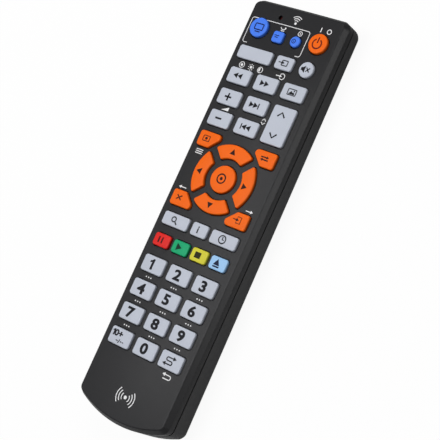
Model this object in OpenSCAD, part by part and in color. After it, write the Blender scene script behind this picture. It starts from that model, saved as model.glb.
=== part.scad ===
// Universal remote control: two case halves, forty-three keys, a battery door and the works inside.
// Everything is drawn from the key face downwards, then set down on its back, which is tilted to the face.

/* [Case] */
// Length from the infrared end to the tail
body_l = 185.6; // [180:0.2:200]
// Width across the sides
body_w = 48; // [47:0.5:54]
// Depth below the key face at the infrared end
depth_head = 15.1; // [14.6:0.1:17]
// Depth below the key face at the tail
depth_tail = 19.1; // [18.6:0.1:21]
// How far the key face stops short of the sides
face_inset = 1.5; // [1:0.1:2]
// Height of the sloping edge round the key face
face_drop = 2.8; // [2.2:0.1:3.4]
// Depth of the joint between the case halves
seam = 6; // [5.8:0.1:6.6]
// Open line between the case halves
seam_gap = 0.6; // [0.3:0.05:0.7]
// Thickness of the case
wall = 1.5; // [1.3:0.1:1.6]
// Rounding of the lower edge
edge_r = 4.8; // [3.6:0.2:5.4]
// Corner rounding at the infrared end
head_r = 3.8; // [3:0.2:6]
// Corner rounding at the tail
tail_r = 4; // [2.6:0.2:5]
// Radius of the slightly bowed infrared end
head_arc = 2000; // [400:50:4000]
// Radius of the rounded tail
tail_arc = 52; // [48:1:80]

/* [Keys] */
// How far most keys stand out of the face
key_stand = 1.4; // [1:0.1:1.8]
// How far the tall round keys stand out
tall_stand = 2; // [1.6:0.1:2.4]
// Rounding of the top edges of a key
key_edge = 0.45; // [0.3:0.05:0.6]
// Corner rounding of a key seen from above
key_r = 1.1; // [0.7:0.1:1.6]
// Open line round a key
key_gap = 0.3; // [0.25:0.05:0.4]
// How far a key goes down
key_travel = 0.9; // [0.6:0.1:1]
// Lip that holds a key under the face
key_lip = 0.5; // [0.4:0.05:0.6]
// Distance of the OK key ahead of the middle
pad_y = 14.85; // [14:0.05:16]
// Length of case that the key rows are spaced for
pad_base = 185.6; // [180:0.2:200]
// Tilt of the rocker key to either side
rock_tilt = 4; // [2:0.5:5]

/* [Top keys] */
// Sideways place of the round keys at either side
side_x = 15.1; // [14.6:0.1:15.6]
// Distance of the first row from the OK key
top_y = 65; // [64:0.5:66]
// Size across the two large round keys
round_d = 9; // [8:0.1:9.6]
// Width of the small square key
square_w = 5.3; // [4.6:0.1:5.8]
// Size across the small round key
small_d = 4.7; // [4.2:0.1:5.4]
// Sideways place of the two small keys
small_x = 4.4; // [4.1:0.1:4.8]
// Distance of the second row from the OK key
second_y = 53.35; // [53:0.05:53.8]
// Height of the keys in the second row
second_h = 5.7; // [5:0.1:6]
// Width of the long blank key
blank_w = 17.1; // [15:0.1:17.4]
// Width of the input key
input_w = 8.65; // [7.6:0.05:9]
// Size across the mute key
mute_d = 6.8; // [6:0.1:7.4]
// Width of a transport key
trans_w = 11.1; // [10:0.1:11.8]
// Height of a transport key
trans_h = 6.75; // [6:0.05:7.2]
// Sideways spacing of the transport keys
trans_pitch = 14; // [13.6:0.1:14.2]
// Row spacing of the transport keys
trans_row = 9.8; // [9.4:0.1:10]
// Distance of the first transport row from the OK key
trans_y = 42.75; // [42.5:0.05:43]

/* [Cursor keys] */
// Size across the OK key
ok_d = 11.75; // [10.6:0.05:12.4]
// Inner radius of the four cursor keys
ring_in = 9; // [8.6:0.1:9.4]
// Outer radius of the four cursor keys
ring_out = 15; // [14.2:0.1:15.2]
// Half the open band between two cursor keys
ring_slot = 1.75; // [1.4:0.05:2.2]
// Outer side of the four corner keys from the middle
corner_x = 19.8; // [19.4:0.1:20]
// Length of a corner key
corner_w = 11.35; // [10.6:0.05:11.6]
// Outer edge of a corner key from the OK key
corner_y = 16.8; // [16.4:0.1:17]
// Height of a corner key
corner_h = 6.7; // [6:0.1:6.8]

/* [Lower keys] */
// Distance of the long key row from the OK key
long_y = 22.85; // [22.6:0.05:23.2]
// Height of the keys in that row
long_h = 5.6; // [5:0.1:6]
// Width of its outer keys
long_w = 13.3; // [12:0.1:13.8]
// Width of its middle key
info_w = 8.1; // [7:0.1:8.6]
// Sideways place of its outer keys
long_x = 12.7; // [12.5:0.05:12.9]
// Distance of the coloured row from the OK key
colour_y = 32.4; // [32:0.1:32.8]
// Width of a coloured key
colour_w = 8.2; // [7.4:0.1:8.4]
// Height of a coloured key
colour_h = 5.5; // [5:0.1:6]
// Spacing of the coloured keys
colour_pitch = 10; // [9.9:0.05:10.3]
// Width of a number key
number_w = 11.2; // [10:0.1:11.8]
// Height of a number key
number_h = 7.05; // [6.4:0.05:7.6]
// Sideways spacing of the number keys
number_pitch = 13.7; // [13.4:0.05:13.9]
// Row spacing of the number keys
number_row = 10.78; // [10.4:0.01:11]
// Distance of the first number row from the OK key
number_y = 43.05; // [42.6:0.05:43.4]

/* [Works] */
// Thickness of the rubber sheet under the keys
mat_t = 0.6; // [0.5:0.05:0.7]
// Thickness of the circuit board
board_t = 1; // [0.8:0.1:1.1]
// Width of the circuit board
board_w = 41; // [40:0.5:41.5]
// Size across a battery cell
cell_d = 10.5; // [9.8:0.1:10.5]
// Length of a battery cell
cell_l = 44.5; // [43:0.1:44.5]
// Spacing of the two cells
cell_pitch = 11.4; // [11:0.1:11.6]
// Distance of the battery bay from the tail
bay_end = 13.8; // [13.2:0.1:14.6]
// Size across the thread of a case screw
screw_d = 2; // [1.8:0.1:2.2]
// Length of a case screw below its head
screw_l = 6; // [5:0.1:6.2]
// Distance of the case screws from the tail
screw_end = 19.8; // [18.8:0.1:20.8]
// Size across the peep hole of the signal lamp
lamp_hole = 1.9; // [1.6:0.1:2.2]
// Width of the infrared window
window_w = 20; // [16:0.5:22]

/* [Battery door] */
// Width of the battery door
door_w = 34; // [33:0.5:35]
// Distance of the battery door from the tail
door_end = 9.8; // [9.2:0.1:10.4]
// Length of the battery door
door_l = 58; // [57.4:0.1:58.6]
// Thickness of the battery door
door_t = 1.2; // [1:0.1:1.3]
// How far the door lies inside the back
door_sunk = 0.1; // [0.05:0.05:0.2]
// Open line round the door
door_gap = 0.3; // [0.25:0.05:0.4]

/* [Hidden] */
$fn = 48;
half_w = body_w / 2;
half_l = body_l / 2;
slope = (depth_tail - depth_head) / body_l;
tilt = atan(slope);
depth_mid = (depth_tail + depth_head) / 2;
tail_y = (edge_r - half_l) * cos(tilt) + (edge_r - depth_tail) * sin(tilt) - edge_r;
head_y = half_l * cos(tilt) - face_drop * sin(tilt);
arc_steps = 8;
lip_top = wall + 0.3;
lip_t = 0.6;
mat_top = lip_top + lip_t + key_travel + 0.15;
board_top = mat_top + mat_t;
board_low = board_top + board_t;
cell_z = board_low + 0.2 + cell_d / 2;
spring_room = 5.5;
bay_tail = bay_end - half_l;
bay_front = bay_tail + cell_l + spring_room;
door_tail = half_l - door_end;
door_front = door_tail - door_l;
rail_x = cell_pitch / 2 + cell_d / 2 + 0.3;
bay_x = door_w / 2 + door_gap + 0.15;
floor_in = 0.5;
screw_x = 14;
screw_y = screw_end - half_l;
screw_sink = 3;
screw_top = board_low + screw_sink;
board_end = 12.8;
board_nose = 3.6;
board_tail = board_end - half_l;
board_head = half_l - board_nose;
post_x = 18.4;
stretch = body_l / pad_base;
mat_head = (pad_y + top_y + round_d / 2) * stretch;
rocker_h = trans_row * stretch + trans_h;
pivot_d = 1.2;
pivot_z = lip_top + pivot_d / 2;
small_drop = 1.75;
input_x = 4.05;
chip_y = 48;
chip_l = 12.8;
chip_w = 7.4;
chip_t = 2;
plate = 9;
contact_t = 0.4;
coil_r = 3.7;
coil_top = 2.3;
coil_wire = 0.6;
coil_clear = 0.2;
cell_gap = 0.7;
drill = 20;
root = 0.2;
hook_x = 11;
hook_w = 4;
hook_post = 1.4;
hook_set = 0.8;
hook_reach = 1.8;
hook_t = 1;
hook_lift = 0.3;
latch_w = 10;
latch_t = 1;
latch_h = 2.4;
rib_x = 14;
rib_t = 1;
rib_h = 0.7;
rib_start = 5;
rib_end = 11;
slit_x = 6;
slit_w = 0.6;
slit_l = 9;
grip_w = 9;
grip_t = 0.8;
grip_deep = 0.3;
grip_first = 2.4;
grip_row = 1.8;
thumb_r = 12;
thumb_w = 12;
thumb_deep = 0.8;
thumb_set = 0.5;
window_t = 1.6;
window_sunk = 0.3;
window_gap = 0.15;
flange = 1.1;
flange_t = 1;
flange_drop = 0.9;
flange_gap = 0.2;
flange_back = window_sunk + window_t + flange_t - 0.1;
lens_d = 5;
lens_x = 5;
lens_drop = 3.1;
emitter_back = 12;
emitter_l = 6.2;
emitter_rim = 0.4;
receiver_back = 9;
receiver_w = 5.6;
receiver_t = 4;
receiver_h = 5.8;
lamp_x = -7.9;
lamp_y = 71.7;
window_top = seam + seam_gap;
window_low = 10.7;
stem_d = 4.2;
pill_low = board_top - key_travel - 0.1;
dark = [0.2, 0.2, 0.21];
grey = [0.76, 0.78, 0.82];
orange = [0.95, 0.4, 0.12];
blue = [0.3, 0.52, 0.95];

// Height of the back under a point of the key face
function back_z(y) = slope * y - depth_mid;

// One rounded end of the case from its right side to its left
function end_arc(w, big, r, apex) =
  let (mid = apex - big)
  let (knee = mid + sqrt(pow(big - r, 2) - pow(w - r, 2)))
  let (a = atan2(knee - mid, w - r))
  concat(
    [for (i = [0:arc_steps - 1]) [w - r + r * cos(a * i / arc_steps), knee + r * sin(a * i / arc_steps)]],
    [for (i = [0:2 * arc_steps]) let (t = a + (90 - a) * i / arc_steps) [big * cos(t), mid + big * sin(t)]],
    [for (i = [arc_steps - 1:-1:0]) [r - w - r * cos(a * i / arc_steps), knee + r * sin(a * i / arc_steps)]]
  );

// Outline of the case, drawn in by a given distance
function outline(inset) = concat(
  end_arc(half_w - inset, head_arc - inset, max(head_r - inset, 0.4), half_l - inset),
  -1 * end_arc(half_w - inset, tail_arc - inset, max(tail_r - inset, 0.4), half_l - inset)
);

function level(inset, z) = [for (p = outline(inset)) [p[0], p[1], z]];

function above_back(inset, h) = [for (p = outline(inset)) [p[0], p[1], back_z(p[1]) + h]];

// Closed skin through outlines that are listed from the lowest up
module skin(rings) {
  n = len(rings[0]);
  m = len(rings);
  polyhedron(
    points = [for (r = rings) each r],
    faces = concat(
      [[for (i = [0:n - 1]) i]],
      [
        for (j = [0:m - 2], i = [0:n - 1])
          let (k = (i + 1) % n)
          [j * n + i, j * n + n + i, j * n + n + k, j * n + k]
      ],
      [[for (i = [n - 1:-1:0]) m * n - n + i]]
    )
  );
}

module set_down() {
  translate([0, -(tail_y + head_y) / 2, depth_mid * cos(tilt)])
    rotate([-tilt, 0, 0])
      children();
}

module on_back() {
  translate([0, 0, -depth_mid])
    rotate([tilt, 0, 0])
      children();
}

module spot(x, y) {
  translate([x, (pad_y + y) * stretch, 0])
    children();
}

module number_spot(column, row) {
  spot(column * number_pitch, -number_y - row * number_row)
    children();
}

module trans_spot(column, row) {
  spot(column * trans_pitch, trans_y - row * trans_row)
    children();
}

module colour_spot(place) {
  spot((place - 1.5) * colour_pitch, -colour_y)
    children();
}

module block_plan(w, h, r) {
  square([w - 2 * r, h], center = true);
  square([w, h - 2 * r], center = true);
  for (x = [-1, 1], y = [-1, 1])
    translate([x * (w / 2 - r), y * (h / 2 - r)])
      circle(r);
}

module ring_plan(grow) {
  intersection() {
    difference() {
      circle(ring_out + grow);
      circle(ring_in - grow);
    }
    translate([0, (ring_slot - grow) * sqrt(2)])
      rotate(45)
        square(2 * ring_out);
  }
}

// Corner key ahead of the OK key on the right, with its slanted side towards that key
module corner_plan(grow) {
  r = key_r + grow;
  s = r / sqrt(2);
  lean = corner_x - corner_w + corner_y;
  high = corner_y - key_r;
  low = corner_y - corner_h + key_r;
  side = corner_x - key_r;
  tip = lean - high;
  heel = lean - low;
  polygon([
    [heel, low - r], [side, low - r], [side + r, low], [side + r, high],
    [side, high + r], [tip, high + r], [tip - s, high - s], [heel - s, low - s]
  ]);
  for (p = [[heel, low], [side, low], [side, high], [tip, high]])
    translate(p)
      circle(r);
}

// Side view of a key with its top edges rounded
module brow(w, stand) {
  translate([-w / 2, -wall - 1])
    square([w, stand - key_edge + wall + 1]);
  translate([key_edge - w / 2, -wall - 1])
    square([w - 2 * key_edge, stand + wall + 1]);
  for (x = [-1, 1])
    translate([x * (w / 2 - key_edge), stand - key_edge])
      circle(key_edge);
}

// Post under a key that carries the conductive pill
module stem(d) {
  translate([0, 0, -pill_low])
    cylinder(d = d, h = pill_low - lip_top);
}

module block_key(w, h) {
  intersection() {
    translate([0, 0, -lip_top])
      linear_extrude(lip_top + key_stand)
        block_plan(w, h, key_r);
    rotate([90, 0, 0])
      linear_extrude(h + 2, center = true)
        brow(w, key_stand);
    rotate([90, 0, 90])
      linear_extrude(w + 2, center = true)
        brow(h, key_stand);
  }
  translate([0, 0, -lip_top - lip_t])
    linear_extrude(lip_t)
      block_plan(w + 2 * key_lip, h + 2 * key_lip, key_r + key_lip);
  stem(min(stem_d, h - 1.2));
}

module round_key(d, stand) {
  rotate_extrude() {
    translate([0, -lip_top - lip_t])
      square([d / 2 + key_lip, lip_t]);
    translate([0, -lip_top])
      square([d / 2, lip_top + stand - key_edge]);
    translate([0, -lip_top])
      square([d / 2 - key_edge, lip_top + stand]);
    translate([d / 2 - key_edge, stand - key_edge])
      circle(key_edge);
  }
  stem(min(stem_d, d - 1.2));
}

// Section of the cursor ring with its top edges rounded
module ring_section() {
  translate([ring_in, -lip_top])
    square([ring_out - ring_in, lip_top + key_stand - key_edge]);
  translate([ring_in + key_edge, -lip_top])
    square([ring_out - ring_in - 2 * key_edge, lip_top + key_stand]);
  for (x = [ring_in + key_edge, ring_out - key_edge])
    translate([x, key_stand - key_edge])
      circle(key_edge);
}

module cursor_key(turn) {
  spot(0, 0)
    rotate(turn) {
      intersection() {
        rotate_extrude()
          ring_section();
        translate([0, 0, -lip_top - 1])
          linear_extrude(lip_top + key_stand + 2)
            translate([0, ring_slot * sqrt(2)])
              rotate(45)
                square(2 * ring_out);
      }
      translate([0, 0, -lip_top - lip_t])
        linear_extrude(lip_t)
          ring_plan(key_lip);
      translate([0, (ring_in + ring_out) / 2, 0])
        stem(stem_d);
    }
}

module corner_key(x, y) {
  spot(0, 0)
    mirror([x < 0 ? 1 : 0, 0, 0])
      mirror([0, y < 0 ? 1 : 0, 0]) {
        intersection() {
          translate([0, 0, -lip_top])
            linear_extrude(lip_top + key_stand)
              corner_plan(0);
          translate([corner_x - corner_w, 0, 0])
            rotate([90, 0, 0])
              linear_extrude(60, center = true)
                brow(2 * corner_w, key_stand);
          translate([0, corner_y - corner_h / 2, 0])
            rotate([90, 0, 90])
              linear_extrude(60, center = true)
                brow(corner_h, key_stand);
        }
        translate([0, 0, -lip_top - lip_t])
          linear_extrude(lip_t)
            corner_plan(key_lip);
        translate([corner_x - corner_w * 0.36, corner_y - corner_h / 2, 0])
          stem(stem_d);
      }
}

module number_key(column, row) {
  number_spot(column, row)
    block_key(number_w, number_h);
}

module trans_key(column, row) {
  trans_spot(column, row)
    block_key(trans_w, trans_h);
}

module colour_key(place) {
  colour_spot(place)
    block_key(colour_w, colour_h);
}

// Long key that tilts on a round bar across its middle
module rocker(w, h) {
  intersection() {
    translate([0, 0, -lip_top - lip_t])
      linear_extrude(lip_top + lip_t + key_stand)
        block_plan(w, h, key_r);
    rotate([90, 0, 0])
      linear_extrude(h + 2, center = true)
        brow(w, key_stand);
    rotate([90, 0, 90])
      linear_extrude(w + 2, center = true)
        brow(h, key_stand);
  }
  translate([0, 0, -pivot_z])
    rotate([0, 90, 0])
      cylinder(d = pivot_d, h = w + 2 * key_lip, center = true);
  for (y = [-0.3, 0.3])
    translate([0, y * h, 0])
      stem(stem_d);
}

// Every key seen from above, each with an open line round it
module key_holes(grow) {
  for (x = [-side_x, side_x])
    spot(x, top_y)
      circle(round_d / 2 + grow);
  spot(-small_x, top_y - small_drop)
    block_plan(square_w + 2 * grow, square_w - 0.4 + 2 * grow, key_r + grow);
  spot(small_x, top_y - small_drop)
    circle(small_d / 2 + grow);
  spot(-corner_x + blank_w / 2, second_y)
    block_plan(blank_w + 2 * grow, second_h + 2 * grow, key_r + grow);
  spot(input_x, second_y)
    block_plan(input_w + 2 * grow, second_h + 2 * grow, key_r + grow);
  spot(side_x, second_y)
    circle(mute_d / 2 + grow);
  for (place = [[-1, 0], [0, 0], [1, 0], [-1, 1], [0, 1], [-1, 2], [0, 2]])
    trans_spot(place[0], place[1])
      block_plan(trans_w + 2 * grow, trans_h + 2 * grow, key_r + grow);
  trans_spot(1, 1.5)
    block_plan(trans_w + 2 * grow, rocker_h + 2 * grow + 0.2, key_r + grow);
  spot(0, 0)
    circle(ok_d / 2 + grow);
  for (turn = [0, 90, 180, 270])
    spot(0, 0)
      rotate(turn)
        ring_plan(grow);
  for (x = [0, 1], y = [0, 1])
    spot(0, 0)
      mirror([x, 0])
        mirror([0, y])
          corner_plan(grow);
  for (x = [-long_x, long_x])
    spot(x, -long_y)
      block_plan(long_w + 2 * grow, long_h + 2 * grow, key_r + grow);
  spot(0, -long_y)
    block_plan(info_w + 2 * grow, long_h + 2 * grow, key_r + grow);
  for (place = [0:3])
    colour_spot(place)
      block_plan(colour_w + 2 * grow, colour_h + 2 * grow, key_r + grow);
  for (column = [-1:1], row = [0:3])
    number_spot(column, row)
      block_plan(number_w + 2 * grow, number_h + 2 * grow, key_r + grow);
}

// Where the stems of the keys come down
module stem_spots() {
  for (x = [-side_x, side_x])
    spot(x, top_y)
      children();
  for (x = [-small_x, small_x])
    spot(x, top_y - small_drop)
      children();
  for (x = [-corner_x + blank_w / 2, input_x, side_x])
    spot(x, second_y)
      children();
  for (place = [[-1, 0], [0, 0], [1, 0], [-1, 1], [0, 1], [-1, 2], [0, 2]])
    trans_spot(place[0], place[1])
      children();
  for (y = [-0.3, 0.3])
    trans_spot(1, 1.5)
      translate([0, y * rocker_h, 0])
        children();
  spot(0, 0)
    children();
  for (turn = [0, 90, 180, 270])
    spot(0, 0)
      rotate(turn)
        translate([0, (ring_in + ring_out) / 2, 0])
          children();
  for (x = [-1, 1], y = [-1, 1])
    spot(0, 0)
      translate([x * (corner_x - corner_w * 0.36), y * (corner_y - corner_h / 2), 0])
        children();
  for (x = [-long_x, 0, long_x])
    spot(x, -long_y)
      children();
  for (place = [0:3])
    colour_spot(place)
      children();
  for (column = [-1:1], row = [0:3])
    number_spot(column, row)
      children();
}

module top_case() set_down() color(dark) {
  difference() {
    skin([level(0, -seam), level(0, -face_drop), level(face_inset, 0)]);
    skin([level(wall, -seam - 1), level(wall, -face_drop - 0.8), level(face_inset + 0.75 * wall, -wall)]);
    translate([0, 0, -wall - 1])
      linear_extrude(wall + 2)
        key_holes(key_gap);
    spot(lamp_x, lamp_y)
      translate([0, 0, -wall - 1])
        cylinder(d = lamp_hole, h = wall + 2);
  }
  for (x = [-screw_x, screw_x])
    translate([x, screw_y, -board_low - 0.2])
      difference() {
        cylinder(d = 5, h = board_low + 0.7 - wall);
        translate([0, 0, -1])
          cylinder(d = screw_d + 0.1, h = screw_l + 1.5 - screw_sink);
      }
}

module bottom_shell() {
  low = [for (j = [0:6]) above_back(edge_r * (1 - cos(90 - 15 * j)), edge_r * (1 - sin(90 - 15 * j)))];
  skin(concat(low, [level(0, -seam - seam_gap)]));
}

// Room inside the lower half that its inner walls and posts fill
module bottom_core() {
  low = [for (j = [0:3]) above_back(
    floor_in + (edge_r - floor_in) * (1 - cos(90 - 30 * j)),
    floor_in + (edge_r - floor_in) * (1 - sin(90 - 30 * j))
  )];
  skin(concat(low, [level(floor_in, -lip_top)]));
}

module tray() {
  top = -board_low - 0.2;
  for (x = [-1, 1]) {
    translate([x * (bay_x + 0.6) - 0.6, bay_tail - 1.2, -30])
      cube([1.2, bay_front - bay_tail + 2.4, 30 + top]);
    translate([x * (rail_x + 0.5) - 0.5, bay_tail - 0.6, -board_low - 6])
      cube([1, bay_front - bay_tail + 1.2, 5.8]);
    translate([x > 0 ? rail_x : -bay_x - 0.6, screw_y - 3.6, -board_low - 6])
      cube([bay_x + 0.6 - rail_x, 7.2, 5.8]);
    for (y = [75, 35, -12])
      translate([x * post_x, y * stretch, -30])
        cylinder(d = 4, h = 30 - board_low);
  }
  translate([-bay_x - 0.6, bay_tail - 1.2, back_z(bay_tail) + 3.5])
    cube([2 * bay_x + 1.2, 1.2, top - back_z(bay_tail) - 3.5]);
  translate([-bay_x - 0.6, bay_front, back_z(bay_front) + 2])
    cube([2 * bay_x + 1.2, 1.2, top - back_z(bay_front) - 2]);
}

module window_hole() {
  pocket = flange_t + 0.9;
  wide = window_w + 2 * flange + 2 * flange_gap;
  back = half_l - flange_back + flange_t + flange_gap;
  translate([-window_w / 2 - window_gap, half_l - 2 * wall, -window_low - 0.1])
    cube([window_w + 2 * window_gap, 4 * wall, window_low]);
  translate([-wide / 2, back - pocket, -window_low - flange_drop - 0.3])
    cube([wide, pocket, window_low + 1]);
}

module bottom_case() set_down() color(dark) {
  difference() {
    union() {
      difference() {
        bottom_shell();
        skin(concat(
          [for (j = [0:3]) above_back(
            wall + (edge_r - wall) * (1 - cos(90 - 30 * j)),
            wall + (edge_r - wall) * (1 - sin(90 - 30 * j))
          )],
          [level(wall, 1 - seam)]
        ));
        on_back()
          translate([-door_w / 2 - door_gap, -door_tail - door_gap, -2])
            cube([door_w + 2 * door_gap, door_tail - door_front + 2 * door_gap, wall + 4]);
        on_back()
          translate([0, thumb_set - door_front, thumb_deep - thumb_r])
            rotate([0, 90, 0])
              cylinder(r = thumb_r, h = thumb_w, center = true);
      }
      intersection() {
        bottom_core();
        tray();
      }
      translate([0, 0, -seam - seam_gap - 2.5])
        linear_extrude(2.2)
          difference() {
            polygon(outline(wall - 0.3));
            polygon(outline(wall + 1));
          }
      translate([0, 0, -seam - seam_gap - 1])
        linear_extrude(seam_gap + 2.2)
          difference() {
            polygon(outline(wall + 0.15));
            polygon(outline(wall + 1));
          }
    }
    window_hole();
    for (x = [-screw_x, screw_x])
      translate([x, screw_y, 0]) {
        translate([0, 0, -drill])
          cylinder(d = screw_d + 0.4, h = drill);
        translate([0, 0, -drill])
          cylinder(d = 2.3 * screw_d, h = drill - screw_top);
      }
  }
}

module battery_door() set_down() color(dark) on_back() {
  length = door_tail - door_front;
  difference() {
    union() {
      translate([0, -door_tail, door_sunk])
        rotate([90, 0, 90])
          linear_extrude(door_w, center = true) {
            translate([door_t / 2, 0])
              square([length - door_t / 2, door_t]);
            translate([door_t / 2, door_t / 2])
              circle(door_t / 2);
          }
      for (x = [-hook_x, hook_x])
        translate([x - hook_w / 2, -door_tail, door_sunk + door_t - root]) {
          translate([0, hook_set, 0])
            cube([hook_w, hook_post, wall + hook_lift + hook_t - door_sunk - door_t + root / 2]);
          translate([0, -hook_reach, wall + hook_lift + root - door_t - door_sunk])
            cube([hook_w, hook_reach + hook_set + hook_post, hook_t]);
        }
      translate([-latch_w / 2, -door_front - latch_t, door_sunk + door_t - root])
        cube([latch_w, latch_t, latch_h]);
      for (x = [-rib_x, rib_x])
        translate([x - rib_t / 2, -door_tail + rib_start, door_sunk + door_t - root])
          cube([rib_t, length - rib_start - rib_end, rib_h]);
    }
    for (x = [-slit_x, slit_x])
      translate([x - slit_w / 2, -door_front - slit_l, -1])
        cube([slit_w, slit_l + 1, door_sunk + door_t + latch_h + 1]);
    for (i = [0:2])
      translate([-grip_w / 2, -door_front - grip_first - i * grip_row - grip_t / 2, door_sunk - 1])
        cube([grip_w, grip_t, 1 + grip_deep]);
  }
}

// Pan-headed screw with a cross recess, seen from its head
module screw() {
  difference() {
    union() {
      cylinder(d = screw_d, h = screw_l);
      translate([0, 0, -1.3])
        cylinder(d = 2 * screw_d, h = 1.3);
    }
    for (turn = [0, 90])
      rotate(turn)
        translate([-1.2, -0.25, -2])
          cube([2.4, 0.5, 1.5]);
  }
}

module case_screws() set_down() color([0.6, 0.6, 0.62])
  for (x = [-screw_x, screw_x])
    translate([x, screw_y, -screw_top])
      screw();

module keypad_mat() set_down() color([0.3, 0.3, 0.32])
  translate([0, 0, -board_top])
    linear_extrude(mat_t)
      difference() {
        translate([-board_w / 2 + 0.4, board_tail + 0.5])
          square([board_w - 0.8, mat_head - board_tail - 0.5]);
        stem_spots()
          circle(d = stem_d + 0.8);
        for (x = [-screw_x, screw_x])
          translate([x, screw_y])
            circle(d = 6);
      }

module circuit_board() set_down() color([0.62, 0.5, 0.24])
  translate([0, 0, -board_low])
    linear_extrude(board_t)
      difference() {
        translate([-board_w / 2, board_tail])
          square([board_w, board_head - board_tail]);
        for (x = [-screw_x, screw_x])
          translate([x, screw_y])
            circle(d = 6);
      }

module control_chip() set_down() color([0.12, 0.12, 0.13])
  translate([2, chip_y, -board_low - chip_t - 0.2]) {
    translate([-chip_w / 2, -chip_l / 2, 0])
      cube([chip_w, chip_l, chip_t]);
    for (x = [-1, 1], y = [-4.5:4.5])
      translate([x * (chip_w / 2 + 0.6) - 0.9, y * chip_l / 10 - 0.2, chip_t / 2 - 0.1])
        cube([1.8, 0.4, chip_t / 2 + 0.3]);
  }

module resonator() set_down() color([0.75, 0.75, 0.76])
  translate([-9, chip_y, -board_low - 3.6])
    linear_extrude(3.6) {
      square([4.6, 6.6], center = true);
      for (y = [-3.3, 3.3])
        translate([0, y])
          circle(d = 4.6);
    }

module capacitor() set_down() color([0.1, 0.12, 0.3])
  translate([10, 26, -board_low - 7])
    cylinder(d = 5, h = 7);

module ir_emitter() set_down() color([0.75, 0.78, 0.9])
  translate([lens_x, half_l - emitter_back, -board_low - lens_drop])
    rotate([-90, 0, 0]) {
      cylinder(d = lens_d + 2 * emitter_rim, h = 1);
      cylinder(d = lens_d, h = emitter_l);
      translate([0, 0, emitter_l])
        sphere(d = lens_d);
    }

module ir_receiver() set_down() color([0.1, 0.1, 0.1])
  translate([-lens_x, half_l - receiver_back, -board_low - lens_drop]) {
    translate([-receiver_w / 2, 1.5 - receiver_t, lens_drop - 0.1 - receiver_h])
      cube([receiver_w, receiver_t, receiver_h]);
    sphere(d = lens_d);
  }

module ir_window() set_down() color([0.12, 0.03, 0.06])
  translate([0, half_l, -window_low]) {
    translate([-window_w / 2, -window_sunk - window_t, 0])
      cube([window_w, window_t, window_low - window_top + 0.2]);
    translate([-window_w / 2 - flange, -flange_back, -flange_drop])
      cube([window_w + 2 * flange, flange_t, window_low - window_top + flange_drop]);
  }

module signal_lamp() set_down() color([0.5, 0.08, 0.06])
  spot(lamp_x, lamp_y)
    translate([0, 0, -board_top]) {
      cylinder(d = 3.6, h = 0.8);
      cylinder(d = 3, h = board_top - wall - 1.3);
      intersection() {
        translate([0, 0, board_top - wall - 1.3])
          sphere(d = 3);
        cylinder(d = 4, h = board_top);
      }
    }

// One cell lying along the remote with its raised end at the origin
module cell() {
  rotate([90, 0, 0])
    rotate_extrude() {
      square([2.1, 2]);
      translate([0, 0.8])
        square([cell_d / 2 - 0.5, cell_l - 0.8]);
      translate([0, 1.3])
        square([cell_d / 2, cell_l - 1.8]);
      translate([cell_d / 2 - 0.5, 1.3])
        circle(0.5);
      translate([cell_d / 2 - 0.5, cell_l - 0.5])
        circle(0.5);
    }
}

module cell_left() set_down() color([0.15, 0.35, 0.2])
  translate([-cell_pitch / 2, bay_front - cell_gap, -cell_z])
    cell();

module cell_right() set_down() color([0.15, 0.35, 0.2])
  translate([cell_pitch / 2, bay_tail + cell_gap, -cell_z])
    rotate(180)
      cell();

// Conical coil that stands on the origin and narrows as it rises
module coil(turns, wide, narrow, high, wire) {
  steps = 8 * turns;
  points = [
    for (k = [0:steps], i = [0:5])
      let (r = wide + (narrow - wide) * k / steps + wire / 2 * cos(60 * i))
      [r * cos(45 * k), r * sin(45 * k), wire / 2 + (high - wire) * k / steps + wire / 2 * sin(60 * i)]
  ];
  polyhedron(points, concat(
    [[5, 4, 3, 2, 1, 0]],
    [
      for (k = [0:steps - 1], i = [0:5])
        [k * 6 + i, k * 6 + (i + 1) % 6, k * 6 + 6 + (i + 1) % 6, k * 6 + 6 + i]
    ],
    [[for (i = [0:5]) steps * 6 + i]]
  ));
}

module contact_springs() set_down() color([0.8, 0.8, 0.78]) {
  reach = bay_front - bay_tail - cell_l - cell_gap - contact_t - coil_clear;
  translate([-cell_pitch / 2, bay_tail + contact_t, -cell_z])
    rotate([-90, 0, 0])
      coil(5, coil_r, coil_top, reach, coil_wire);
  translate([cell_pitch / 2, bay_front - contact_t, -cell_z])
    rotate([90, 0, 0])
      coil(5, coil_r, coil_top, reach, coil_wire);
}

module contact_plates() set_down() color([0.8, 0.8, 0.78]) {
  translate([-cell_pitch / 2 - plate / 2, bay_tail, -cell_z - plate / 2])
    cube([cell_pitch + plate, contact_t, plate]);
  for (x = [-1, 1])
    translate([x * cell_pitch / 2 - plate / 2, bay_front - contact_t, -cell_z - plate / 2])
      cube([plate, contact_t, plate]);
}

module key_power() set_down() color(orange) spot(side_x, top_y) round_key(round_d, tall_stand);
module key_device_round() set_down() color(blue) spot(-side_x, top_y) round_key(round_d, tall_stand);
module key_device_square() set_down() color(blue) spot(-small_x, top_y - small_drop)
  block_key(square_w, square_w - 0.4);
module key_device_small() set_down() color(blue) spot(small_x, top_y - small_drop)
  round_key(small_d, key_stand);
module key_blank() set_down() color(grey) spot(-corner_x + blank_w / 2, second_y)
  block_key(blank_w, second_h);
module key_input() set_down() color(grey) spot(input_x, second_y) block_key(input_w, second_h);
module key_mute() set_down() color(grey) spot(side_x, second_y) round_key(mute_d, key_stand);
module key_rewind() set_down() color(grey) trans_key(-1, 0);
module key_forward() set_down() color(grey) trans_key(0, 0);
module key_picture() set_down() color(grey) trans_key(1, 0);
module key_volume_up() set_down() color(grey) trans_key(-1, 1);
module key_volume_down() set_down() color(grey) trans_key(-1, 2);
module key_next() set_down() color(grey) trans_key(0, 1);
module key_previous() set_down() color(grey) trans_key(0, 2);
module key_channel() set_down() color(grey) trans_spot(1, 1.5) rocker(trans_w, rocker_h);
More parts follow.
